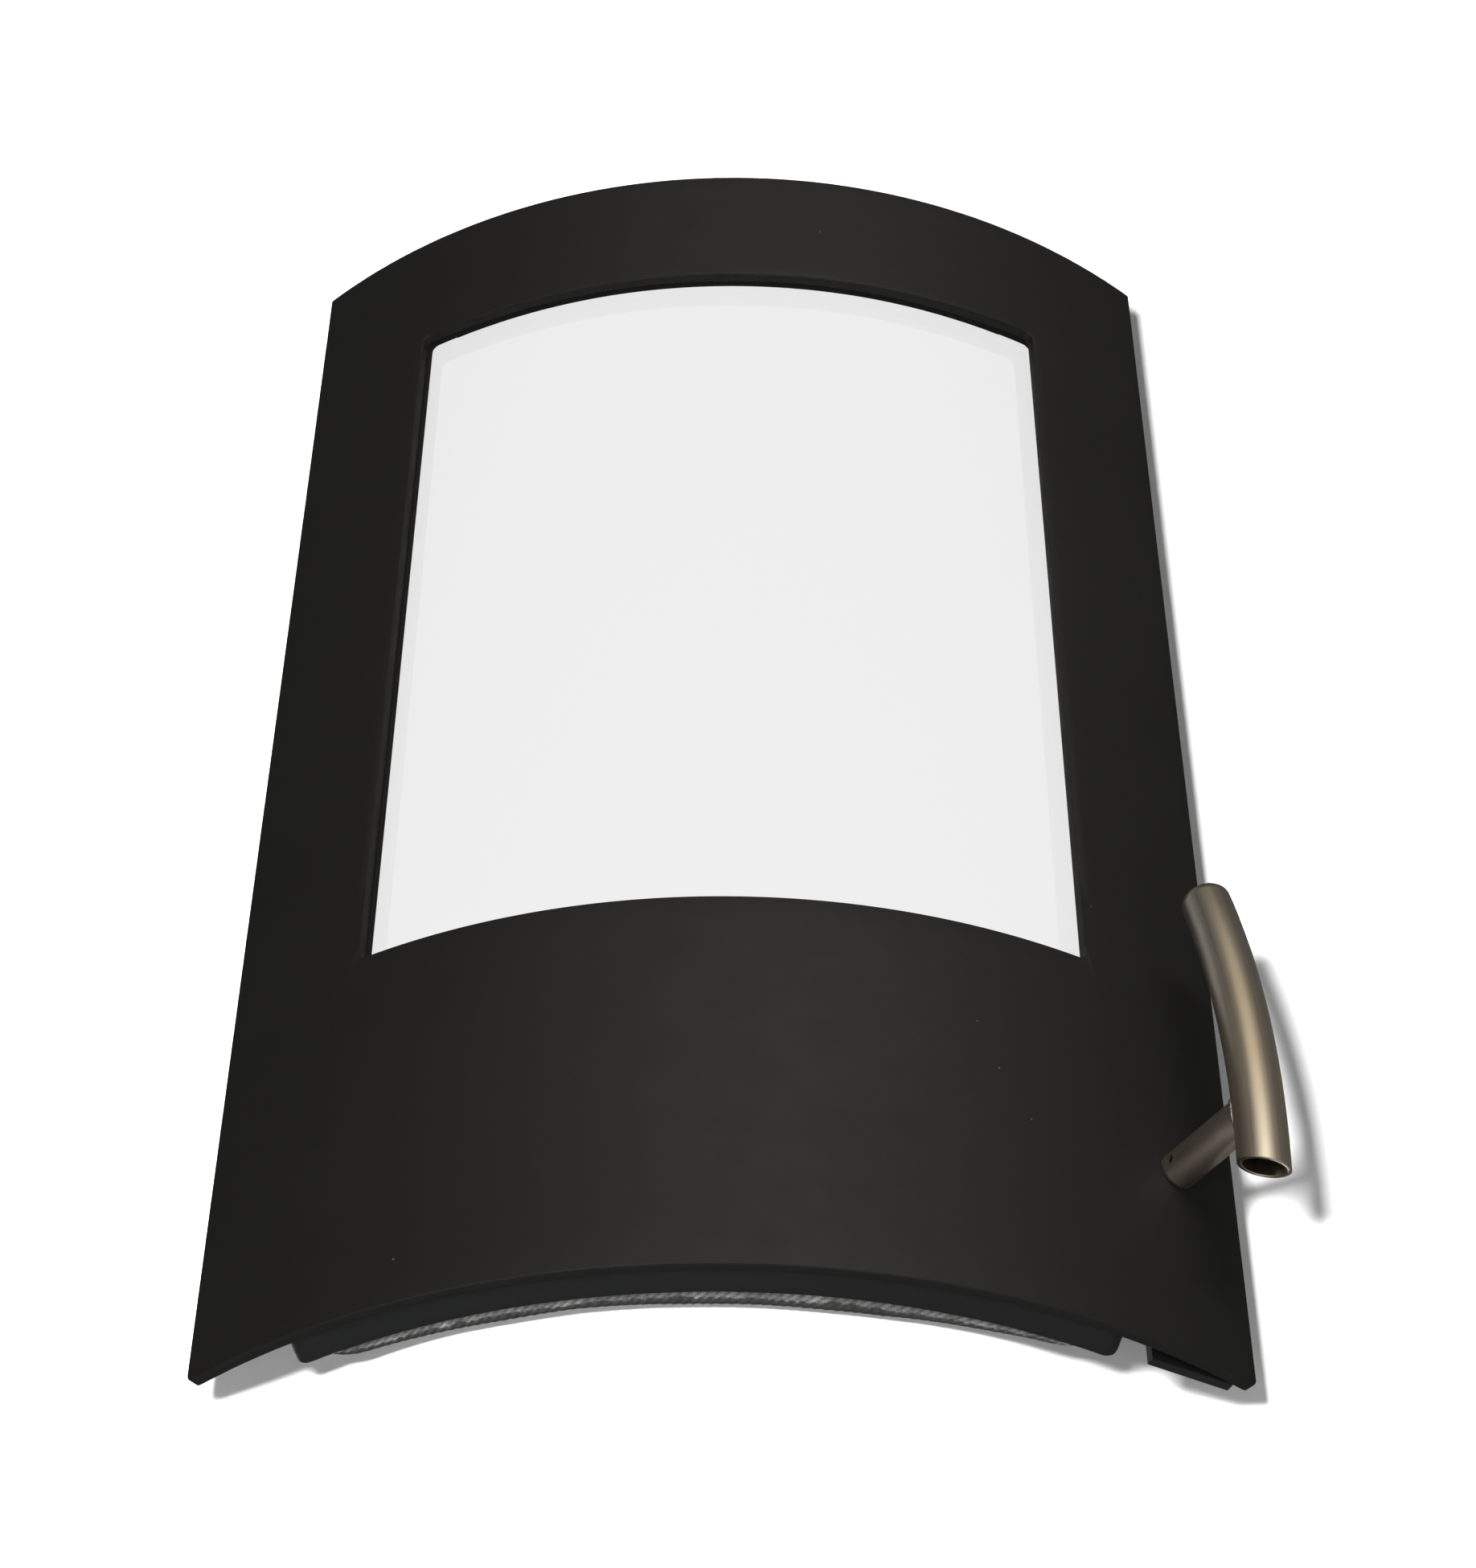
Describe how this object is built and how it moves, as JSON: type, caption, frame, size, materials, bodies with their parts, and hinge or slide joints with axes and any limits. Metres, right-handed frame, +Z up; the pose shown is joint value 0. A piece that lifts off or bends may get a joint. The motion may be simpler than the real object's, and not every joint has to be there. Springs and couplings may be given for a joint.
{
  "type": "stove door",
  "caption": "Curved steel stove door with a rounded glass window, a rope-sealed inner frame, hinge lugs at its left edge and a turning bow handle with a latch hook at its right.",
  "frame": {"origin": "centre of the lower hinge bush, on the hinge axis", "axes": "+X across the door from the hinge side to the latch side, +Y into the stove, +Z up along the hinge axis"},
  "size_m": [0.434, 0.0958, 0.706],
  "materials": {
    "heat_paint": "satin black heat paint",
    "handle_steel": "brushed along its length",
    "glass": "clear and smooth",
    "seal_rope": "knitted glass-fibre rope with a silvery sheen",
    "glass_tape": "matt woven tape",
    "plated_steel": "plain zinc plating"
  },
  "bodies": {
    "door": {"face_plate": "heat_paint", "inner_frame": "heat_paint", "door_rope": "seal_rope", "window_glass": "glass", "glass_tape": "glass_tape", "glass_rear_tapes": "glass_tape", "glass_clamp_bottom": "heat_paint", "glass_clamp_top": "heat_paint", "clamp_studs": "plated_steel", "clamp_nuts": "plated_steel", "heat_shield": "heat_paint", "shield_spacers": "plated_steel", "shield_studs": "plated_steel", "shield_nuts": "plated_steel", "hinge_lug_bottom": "heat_paint", "hinge_lug_top": "heat_paint", "hinge_bush_bottom": "plated_steel", "hinge_bush_top": "plated_steel", "latch_plate": "heat_paint", "spindle_bush": "plated_steel"},
    "handle": {"spindle": "handle_steel", "handle_stem": "handle_steel", "handle_tube": "handle_steel", "stem_pin": "plated_steel", "latch_washer": "plated_steel", "latch_hook": "plated_steel", "spring_washer": "plated_steel", "latch_nut": "plated_steel"}
  },
  "joints": [
    {"name": "handle_turn", "type": "hinge", "parent": "door", "child": "handle", "pos_m": [0.3765, -0.02748, 0.0324], "axis": [-0.567, 0.8237, 0], "range_deg": [0, 90]}
  ]
}
